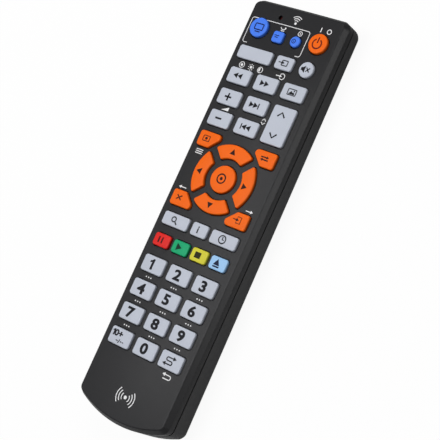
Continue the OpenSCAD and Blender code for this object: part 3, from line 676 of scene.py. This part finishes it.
# prints: how they lie on a key, the sizes of lines and figures in mm, and how finely they are cut
markSet = dict(
    shift=-0.45, lift=0.008, half=0.02, line=0.55, arrow=2.1, cursor=2.3, boxBend=0.12,
    digit=5.9595, bold=0.25, broad=1.2, smallDigit=3.5, smallBold=0.15,
    cell=0.6, ringSides=40, dotSides=24, curveSteps=6, sameSpot=1e-5, mitre=0.5, clear=0.96,
)
arrowShape = np.array([[-0.5, -0.6], [0.55, 0], [-0.5, 0.6]])  # for a size of 1, pointing right


# Marks are lists of closed loops in mm, or of groups where a loop inside another is a hole.
# A stroke is a path with an even width: half of it to each side, square to the way along.
def stroke(path, width):
    path = np.asarray(path, float)
    along = np.gradient(path, axis=0)
    along /= np.linalg.norm(along, axis=1)[:, None]
    side = np.stack([-along[:, 1], along[:, 0]], 1) * width / 2
    return np.concatenate([path + side, (path - side)[::-1]])


def line(start, end, width, steps=3):  # a straight stroke
    return stroke(np.linspace(start, end, steps), width)


# points on a circle between two directions
def arcPath(radius, fromDeg, toDeg, x=0, y=0, steps=28):
    turn = np.radians(np.linspace(fromDeg, toDeg, steps))
    return np.stack([x + radius * np.cos(turn), y + radius * np.sin(turn)], 1)


def circle(radius, x, y, sides):  # an arc all the way round
    return arcPath(radius, 0, 360 - 360 / sides, x, y, sides)


def dot(radius, x=0, y=0):
    return circle(radius, x, y, markSet["dotSides"])


def ringLoops(radius, width, x=0, y=0):  # two circles, the inner one a hole
    sides = markSet["ringSides"]
    return [(circle(radius + width / 2, x, y, sides), circle(radius - width / 2, x, y, sides))]


def bar(x, y, wide, high):  # a rectangle about a point
    return np.array([[-1, -1], [1, -1], [1, 1], [-1, 1]]) * [wide / 2, high / 2] + [x, y]


# a rounded box and the same box drawn in by the width of the line
def boxLoops(x, y, wide, high, width):
    shape = blockOutline(wide, high, width + markSet["boxBend"])
    return [(atInset(shape, 0) + [x, y], atInset(shape, width) + [x, y])]


def arrowHead(x, y, size, aimDeg):  # a triangle turned to its aim
    return arrowShape * size @ spinBy(math.radians(aimDeg)) + [x, y]


def arrows(aimDeg, *places):
    return [arrowHead(x, 0, markSet["arrow"], aimDeg) for x in places]


# points set into a loop's edges, so that no edge is longer than a step
def splitEdges(loop, step):
    ahead = np.roll(loop, -1, 0) - loop
    pieces = np.maximum(np.ceil(np.linalg.norm(ahead, axis=1) / step), 1).astype(int)
    place = np.arange(pieces.sum()) - np.repeat(np.cumsum(pieces) - pieces, pieces)
    return np.repeat(loop, pieces, 0) + np.repeat(ahead / pieces[:, None], pieces, 0) * place[:, None]


# how far points lie from the nearest edge of any loop
def nearestEdge(points, loops):
    start = np.concatenate(loops)
    ahead = np.concatenate([np.roll(loop, -1, 0) - loop for loop in loops])
    offset = points[:, None] - start
    share = np.clip((offset * ahead).sum(2) / (ahead ** 2).sum(1), 0, 1)
    return np.linalg.norm(offset - share[..., None] * ahead, axis=2).min(1)


# the outlines of a line of figures: every segment of the font's curves is a cubic between two knots
def fontLoops(figures, size):
    text = bpy.data.curves.new("figures", "FONT")
    text.body, text.size = figures, size
    holder = addObject("figures", text)
    bpy.context.view_layer.update()
    t = np.linspace(0, 1, markSet["curveSteps"], endpoint=False)[None, :, None]
    loops = []
    for spline in holder.to_curve(bpy.context.evaluated_depsgraph_get()).splines:
        knots = [(knot.co, knot.handle_right, knot.handle_left) for knot in spline.bezier_points]
        a, b, before = np.array(knots).transpose(1, 0, 2)[:, :, None]
        c, d = np.roll(before, -1, 0), np.roll(a, -1, 0)
        curve = (1 - t) ** 3 * a + 3 * (1 - t) ** 2 * t * b + 3 * (1 - t) * t ** 2 * c + t ** 3 * d
        loop = curve.reshape(-1, 3)[:, :2]
        loops.append(loop[np.linalg.norm(loop - np.roll(loop, 1, 0), axis=1) > markSet["sameSpot"]])
    holder.to_curve_clear()
    bpy.data.objects.remove(holder)
    bpy.data.curves.remove(text)
    return loops


# loops with each point moved outwards on the mitre of its two edges; points that a tight bend pushes
# back over the outline go
def bolder(loops, bold):
    ahead = [np.roll(loop, -1, 0) for loop in loops]
    area = sum(np.sum(a[:, 0] * b[:, 1] - a[:, 1] * b[:, 0]) for a, b in zip(loops, ahead))
    grown = []
    for loop, after in zip(loops, ahead):
        edge = after - loop
        edge /= np.linalg.norm(edge, axis=1)[:, None]
        along = edge + np.roll(edge, 1, 0)
        along /= np.maximum((along ** 2).sum(1) / 2, markSet["mitre"])[:, None]
        out = loop + np.stack([along[:, 1], -along[:, 0]], 1) * bold * np.sign(area)
        grown.append(out[nearestEdge(out, loops) > bold * markSet["clear"]])
    return grown


def figureLoops(figures, size, bold, x=0, y=0):  # bold figures about a point
    loops = bolder(fontLoops(figures, size), bold)
    every = np.concatenate(loops)
    middle = (every.min(0) + every.max(0)) / 2
    return tuple((loop - middle) * [markSet["broad"], 1] + [x, y] for loop in loops)


# a thin closed solid over everything that lies inside an odd number of one item's loops: top, bottom,
# and a wall on each border edge; with a cell size it is cut finely enough to follow a crown
def markShape(items, cell=0):
    groups = [item if isinstance(item, tuple) else (item,) for item in items]
    loose = []
    if cell:
        groups = [tuple(splitEdges(loop, cell) for loop in group) for group in groups]
        every = np.concatenate([loop for group in groups for loop in group])
        spans = [np.arange(low + cell / 2, high, cell) for low, high in zip(every.min(0), every.max(0))]
        loose = [np.stack(np.meshgrid(*spans), -1).reshape(-1, 2)]
    flat, tris = triangulate([loop for group in groups for loop in group], loose)
    middles = flat[tris].mean(1)
    odd = [np.sum([insideLoop(middles, loop) for loop in group], 0) % 2 == 1 for group in groups]
    used, tris = np.unique(tris[np.any(odd, 0)], return_inverse=True)
    flat, tris, count = flat[used], tris.reshape(-1, 3), len(used)
    edges = np.concatenate([tris[:, [0, 1]], tris[:, [1, 2]], tris[:, [2, 0]]])
    border = edges[~np.isin(edges @ [count, 1], edges @ [1, count])]
    walls = np.column_stack([border + count, border[:, ::-1]])
    points = np.vstack([atHeight(flat, markSet["half"]), atHeight(flat, -markSet["half"])])
    return points, [tris, tris[:, ::-1] + count, walls]


# what is printed on each key, drawn about its own middle
thick = markSet["line"]
cursorAims = dict(up=90, down=270, left=180, right=0)
one = np.array([
    [0.72, -2.3], [0.72, 2.3], [-0.05, 2.3], [-0.6, 1.72],
    [-1.4, 1.38], [-1.4, 0.5], [-0.42, 0.86], [-0.42, -2.3],
])
horn = np.array([[-1.9, -0.65], [-1.15, -0.65], [0.05, -1.6], [0.05, 1.6], [-1.15, 0.65], [-1.9, 0.65]])
hills = np.array([[-1.6, -0.95], [-0.3, 0.5], [0.45, -0.2], [0.9, 0.15], [1.6, -0.95]])
doorway = [[0, 1], [0, 1.35], [1.9, 1.35], [1.9, -1.35], [0, -1.35], [0, -1]]
chevron = stroke([[-1.75, -0.95], [0, 0.95], [1.75, -0.95]], 0.68)
swapArcs = arcPath(0.7, 90, 270, -0.95, 0.7, 12), arcPath(0.7, 90, -90, 0.95, -0.7, 12)
swap = np.concatenate([[[1.9, 1.4]], *swapArcs, [[-1.9, -1.4]]])
keyMarks = dict(
    power=[stroke(arcPath(2.05, 118, 422), 0.58), bar(0, 1.6, 0.58, 2.6)],
    device_round=boxLoops(0, 0.35, 4.6, 3.1, 0.5) + [bar(0, -1.85, 2.6, 0.5)],
    device_square=[bar(0, 0.45, 2.4, 0.36), bar(0, -0.35, 1.5, 0.36)],
    device_small=ringLoops(0.85, 0.34) + [dot(0.25)],
    input=boxLoops(0.9, 0, 3.2, 2.6, 0.42) + [bar(-1.35, 0, 1.7, 0.42), arrowHead(0.1, 0, 1.3, 0)],
    mute=[horn, line([0.55, -0.9], [2.2, 0.9], 0.48), line([0.55, 0.9], [1.2, 0.2], 0.48),
          line([1.55, -0.2], [2.2, -0.9], 0.48)],
    rewind=arrows(180, -1.1, 1.1),
    forward=arrows(0, -1.1, 1.1),
    next=arrows(0, -1.6, 0.55) + [bar(1.98, 0, 0.5, 2.5)],
    previous=arrows(180, 1.6, -0.55) + [bar(-1.98, 0, 0.5, 2.5)],
    picture=boxLoops(0, 0, 4.4, 2.9, 0.38) + [hills, dot(0.33, 1, 0.65)],
    volume_up=[bar(0, 0, 3.4, 0.78), bar(0, 1.04, 0.78, 1.3), bar(0, -1.04, 0.78, 1.3)],
    volume_down=[bar(0, 0, 3.2, 0.8)],
    menu=boxLoops(0, 0, 3.6, 2.6, 0.34) + [dot(0.62)],
    audio=[line([-1.9, 0.55], [1.1, 0.55], thick), arrowHead(1.35, 0.55, 1.1, 0),
           line([-1.1, -0.55], [1.9, -0.55], thick), arrowHead(-1.35, -0.55, 1.1, 180)],
    cancel=[line([-1.25, -1], [1.25, 1], thick), line([-1.25, 1], [-0.28, 0.22], thick),
            line([0.28, -0.22], [1.25, -1], thick)],
    exit=[stroke(doorway, 0.36), bar(-1, 0, 1.7, 0.4), arrowHead(0.35, 0, 1.3, 0)],
    **{name: [arrowHead(0, 0, markSet["cursor"], aim)] for name, aim in cursorAims.items()},
    ok=ringLoops(1.95, 0.62) + [dot(0.72)],
    zoom=ringLoops(1.05, 0.5, -0.35, 0.3) + [line([0.55, -0.55], [1.6, -1.6], 0.6)],
    info=[dot(0.36, 0, 1.15), bar(0, -0.45, 0.62, 2.1)],
    timer=ringLoops(1.65, 0.5) + [stroke([[0, 1.1], [0, -0.1], [0.95, -0.1]], 0.48)],
    pause=[bar(-0.85, 0, 0.8, 2.6), bar(0.85, 0, 0.8, 2.6)],
    play=[arrowHead(0, 0, 2.6, 0)],
    stop=[bar(0, 0, 3, 2.5)],
    eject=[arrowHead(0, 0.45, 2.6, 90), bar(0, -1.45, 3.2, 0.6)],
    ten_plus=[bar(-0.4, -1.75, 1.1, 0.4), line([0.45, -2.6], [1, -0.9], 0.38), bar(1.75, -1.75, 0.75, 0.4),
              bar(2.8, -1.75, 0.75, 0.4), one * [0.62, 0.58] + [-3.35, 1.15],
              figureLoops("0+", markSet["smallDigit"], markSet["smallBold"], -0.75, 1.15)],
    channel=[chevron + [0, 4.6], chevron * [1, -1] - [0, 4.6]],
)
keyMarks["return"] = [stroke(swap, 0.5), arrowHead(2.2, 1.4, 1.45, 0), arrowHead(-2.2, -1.4, 1.45, 180)]
keyMarks["1"] = [one]
keyMarks.update({name: [figureLoops(name, markSet["digit"], markSet["bold"])] for name in "234567890"})
# where a mark lies when that isn't the middle of its key; round the cursor ring, from the middle key
markAt = dict(
    menu=(-15.2, 13.6), audio=(15.2, 13.6), cancel=(-15.4, -13.3), exit=(15.2, -13.3),
    up=(0, 11.9), down=(0, -11.9), left=(-11.9, 0), right=(11.9, 0),
    power=(0.35, -0.25), device_round=(0.8, -0.2),
)


# a printed mark follows the crown of its key and stands a hair above it
def printMark(name, key, items, x=0, y=0):
    points, faceSets = markShape(items, markSet["cell"])
    points += [x + markSet["shift"], y, key["stand"] + markSet["lift"]]
    points[:, 2] += crownOf(key, points[:, 0], points[:, 1])
    mesh = meshFrom("mark_" + name, setDown(points + onFace(key["x"], key["y"])), faceSets, False)
    addPiece("mark_" + name, mesh, name, keyInk.get(name, keyInk[key["colour"]]))


for name, items in keyMarks.items():
    printMark(name, keys[name], items, *markAt.get(name, (0, 0)))
print("key marks made:", len(keyMarks))

frameBox = dict(left=-20.8, right=8.9, top=69.1, low=57.7, line=0.29, bend=1, open=1.4, steps=8)


# a box with rounded corners, left open along the middle of its lower side
def framePath():
    bend, steps = frameBox["bend"], frameBox["steps"]
    left, right = frameBox["left"] + bend, frameBox["right"] - bend
    top, low = frameBox["top"] - bend, frameBox["low"] + bend
    return np.concatenate([
        [[left + frameBox["open"], frameBox["low"]]],
        arcPath(bend, 270, 180, left, low, steps), arcPath(bend, 180, 90, left, top, steps),
        arcPath(bend, 90, 0, right, top, steps), arcPath(bend, 0, -90, right, low, steps),
        [[right - frameBox["open"], frameBox["low"]]],
    ])


def rays(near, far, width, count=8):  # short lines outwards, evenly all round
    return [line(near * way, far * way, width, 2) for way in circle(1, 0, 0, count)]


def waves(radii, aimDeg, width, spread=42, steps=14):  # arcs one behind the other
    return [stroke(arcPath(r, aimDeg - spread, aimDeg + spread, steps=steps), width) for r in radii]


# white prints on the face: the place of each, in mm from the middle key, and what is drawn there
roof = np.array([[-0.95, 0.35], [0, 1.25], [0.95, 0.35]])
hook = np.concatenate([[[0.4, 0]], arcPath(0.85, 90, -90, 2.9, -0.85, 14), [[0.1, -1.7]]])
tailRadii = (2, 3.3, 4.6)
numberDots = [
    dot(0.3, column * grid["numberX"] + i * 1.25, -row * grid["numberRow"])
    for row in range(3) for column in (-1, 0, 1) for i in (-1, 0, 1)
]
facePrints = dict(
    frame=((0, 0), [stroke(framePath(), frameBox["line"])]),
    headWaves=((0.3, 70.9), [dot(0.55)] + waves((1.3, 2.2, 3.1), 90, 0.34)),
    onOff=((15.2, 71.2), [bar(-2, 0, 0.42, 2)] + ringLoops(0.95, 0.36, 2, 0)),
    dish=((-4.2, 68.3), [stroke(arcPath(1.3, 200, 340, steps=14), 0.34), bar(0, -1.85, 1.8, 0.34),
                         dot(0.34, 1, -0.4)]),
    disc=((4.6, 67.25), ringLoops(0.95, 0.32) + [dot(0.3)]),
    target=((-15.8, 48), ringLoops(1.25, 0.3) + [dot(0.6)]),
    sun=((-11.05, 48), [dot(0.62)] + rays(0.95, 1.5, 0.3)),
    halfMoon=((-6.25, 48), ringLoops(1.2, 0.3) + [arcPath(0.85, 90, 270, steps=14)]),
    intoRing=((5.1, 48), [stroke(arcPath(1.25, 215, 505), 0.32), bar(-2.1, 0, 2, 0.32),
                          arrowHead(-0.7, 0, 1.1, 0)]),
    wedge=((-16, 27.35), [np.array([[0, 0], [3.6, 0], [3.6, 1.65]])]),
    upAndDown=((5.95, 27.95), [stroke(roof, 0.36), stroke(roof * [1, -1], 0.36)]),
    lines=((-17.3, 7.7), [bar(0, i * 0.85, 3.6, 0.36) for i in (-1, 0, 1)]),
    leftArrow=((-18.6, -8.7), [line([0.3, 0], [3.2, 0], 0.36, 2), arrowHead(0, 0, 1.2, 180)]),
    rightArrow=((18.9, -8.5), [line([-2.9, 0], [-0.3, 0], 0.36, 2), arrowHead(0, 0, 1.2, 0)]),
    numberDots=((-0.3, -48.5), numberDots),
    hook=((12.5, -80.8), [stroke(hook, 0.4), arrowHead(0, 0, 1.3, 180)]),
    tailWaves=((0.2, -96.2), [dot(0.75)] + waves(tailRadii, 0, 0.4) + waves(tailRadii, 180, 0.4)),
)


def moved(item, place):
    return tuple(loop + place for loop in item) if isinstance(item, tuple) else item + place


faceItems = [moved(item, place) for place, items in facePrints.values() for item in items]
facePoints, faceSets = markShape(faceItems)
facePoints = setDown(facePoints + onFace(0, 0) + [0, 0, markSet["lift"]])
addPiece("facePrints", meshFrom("facePrints", facePoints, faceSets, False), "case", faceInk)
print("face prints made:", len(faceItems), "loops")

smoothing = dict(splitDegrees=34, weight=50)


# a CAD piece keeps its shape: live modifiers weld its loose triangles and shade its round faces smooth
def dressNode(name, finish):
    piece = nodes[name]
    piece.data.materials.clear()
    piece.data.materials.append(finish)
    weld = piece.modifiers.new("weld", "WELD")
    weld.merge_threshold = weldReach
    split = piece.modifiers.new("split", "EDGE_SPLIT")
    split.split_angle = math.radians(smoothing["splitDegrees"])
    even = piece.modifiers.new("even", "WEIGHTED_NORMAL")
    even.weight = smoothing["weight"]


chipLook = dict(colour=(0.02, 0.02, 0.021), grain=3600, pit=0.00001, rough=0.55, gloss=0.4)
nickel = platedMetal("nickel", (0.74, 0.72, 0.68), rough=0.28)
dressing = dict(
    # the lower half and the door take the plastic that is painted paler against shade
    bottom_case=lowerFinishPaledForShade, battery_door=lowerFinishPaledForShade,
    case_screws=platedMetal("zinc", (0.62, 0.62, 0.64), rough=0.35),
    contact_springs=nickel, contact_plates=nickel,
    keypad_mat=silicone("sheetSilicone", (0.2, 0.2, 0.215), rough=0.6), circuit_board=boardFinish(),
    control_chip=mouldedPlastic("chipMoulding", **chipLook),
    resonator=platedMetal("drawnCan", (0.7, 0.7, 0.7), rough=0.25),
    capacitor=glossyMoulding("shrunkSleeve", (0.02, 0.03, 0.12), rough=0.3),
    ir_emitter=glossyMoulding("waterClear", (0.62, 0.66, 0.85), rough=0.06, Transmission_Weight=0.6),
    ir_receiver=glossyMoulding("darkLens", (0.012, 0.012, 0.014), rough=0.1),
    ir_window=glossyMoulding("darkWindow", (0.018, 0.004, 0.007), rough=0.07, Coat_Weight=0.5),
    signal_lamp=glossyMoulding("dullRed", (0.06, 0.008, 0.008), rough=0.25),
    cell_left=cellFinish("leftSleeve", cellLook["leftEdge"], True),
    cell_right=cellFinish("rightSleeve", cellLook["rightEdge"], False),
)
for name, finish in dressing.items():
    dressNode(name, finish)
print("CAD pieces dressed:", len(dressing))

# the photograph's camera: place and directions in mm on the key face, near and far in metres
camera = dict(
    lens=106.16, sensor=36, near=0.02, far=30,
    eye=(300.14, -38.6, 430.74), ahead=(-0.56185, 0.07213, -0.82409), up=(-0.3046, 0.90816, 0.28716),
)


def placeCamera():
    origin, ahead, up, eye = setDown([(0, 0, 0), camera["ahead"], camera["up"], camera["eye"]])
    ahead = Vector(ahead - origin).normalized()
    right = ahead.cross(Vector(up - origin)).normalized()
    turn = Matrix((right, right.cross(ahead), -ahead)).transposed().to_4x4()
    data = bpy.data.cameras.new("viewCamera")
    data.lens, data.sensor_width = camera["lens"], camera["sensor"]
    data.clip_start, data.clip_end = camera["near"], camera["far"]
    scene.camera = addObject("viewCamera", data)
    scene.camera.matrix_world = Matrix.Translation(Vector(eye)) @ turn


studio = dict(
    world=0.31, skyMirrored=0.1, floorHalf=6, floorSink=0.0002, floorRough=0.9, floorGloss=0.1,
    floorSeen=0.95, floorTint=0.53, floorLift=0.93, floorMirrored=0.14,
    fadeFrom=0.01, fadeTo=0.11, fadeLeft=0.42,  # the floor throws less light back towards the head
    speck=30, speckLow=0.98, speckRise=0.04,
)
white = (1, 1, 1, 1)


# pale to the camera and, fainter, in reflections; duller to the light that it throws back
def floorFinish():
    finish = Finish("paleFloor")
    speck = finish.noise(studio["speck"])
    mirrored = finish.path("Is Glossy Ray") + finish.path("Is Transmission Ray")
    along = finish.add("ShaderNodeSeparateXYZ", inputs={"Vector": finish.place}, out=1)
    fade = {"Value": along, "From Min": studio["fadeFrom"], "From Max": studio["fadeTo"], "To Min": 1}
    dim = finish.add("ShaderNodeMapRange", {"clamp": True}, {**fade, "To Max": studio["fadeLeft"]})
    seen = finish.path("Is Camera Ray") + mirrored * dim * studio["floorMirrored"]
    tint = seen * studio["floorSeen"] + (1 - seen) * dim * studio["floorTint"]
    glow = finish.add("ShaderNodeEmission", inputs={"Color": white, "Strength": 1})
    lift = {0: seen * studio["floorLift"], 1: finish.surface, 2: glow}
    return finish.done(
        finish.add("ShaderNodeMixShader", inputs=lift),
        Base_Color=tint * (studio["speckLow"] + studio["speckRise"] * speck),
        Roughness=studio["floorRough"], Specular_IOR_Level=studio["floorGloss"],
    )


def layFloor():  # one square just under the object
    half = studio["floorHalf"]
    points = [(-half, -half, 0), (half, -half, 0), (half, half, 0), (-half, half, 0)]
    mesh = meshFrom("floor", points, [np.array([[0, 1, 2, 3]])], False)
    mesh.materials.append(floorFinish())
    floor = addObject("floor", mesh)
    floor.location.z = -studio["floorSink"]


# a soft even light; the camera sees it as white, and reflections show a little of that
def lightSky():
    scene.world = bpy.data.worlds.new("studio")
    scene.world.use_nodes = True
    sky = NodeTree(scene.world.node_tree)
    soft = sky.add("ShaderNodeBackground", inputs={"Color": white, "Strength": studio["world"]})
    bright = sky.add("ShaderNodeBackground", inputs={"Color": white, "Strength": 1})
    mirrored = sky.path("Is Glossy Ray") + sky.path("Is Transmission Ray")
    shown = sky.path("Is Camera Ray") + mirrored * studio["skyMirrored"]
    mixed = sky.add("ShaderNodeMixShader", inputs={0: shown, 1: soft, 2: bright})
    sky.add("ShaderNodeOutputWorld", inputs={"Surface": mixed})


# the lamps marked reflected are seen only as a sheen
lamps = dict(
    overhead=dict(place=(-0.2, -0.04, 0.95), wide=0.45, power=4.75),
    headTop=dict(place=(0.1, 0.62, 0.62), wide=0.6, power=2),
    rightStrip=dict(place=(0.4, 0.09, 0.009), wide=0.32, high=0.012, power=0.62, reflected=True),
    faceStrip=dict(place=(-0.03, -0.006, 0.08), aim=(0, -0.006, 0), wide=0.155, high=0.015, power=0.031,
                   reflected=True),
    rightFill=dict(place=(0.25, 0, 0.45), wide=0.3, power=1.1, reflected=True),
)


def addLamp(name, place, wide, power, aim=(0, 0, 0), high=None, reflected=False):
    data = bpy.data.lights.new(name, "AREA")
    data.shape, data.energy = "RECTANGLE" if high else "DISK", power
    data.size, data.size_y = wide, high or wide
    lamp = addObject(name, data)
    lamp.visible_diffuse, lamp.visible_camera = not reflected, False
    lamp.location = place
    lamp.rotation_euler = (Vector(aim) - Vector(place)).to_track_quat("-Z", "Y").to_euler()


placeCamera()
layFloor()
lightSky()
for name, lamp in lamps.items():
    addLamp(name, **lamp)
scene.view_settings.view_transform = "Standard"
print("camera and studio made")
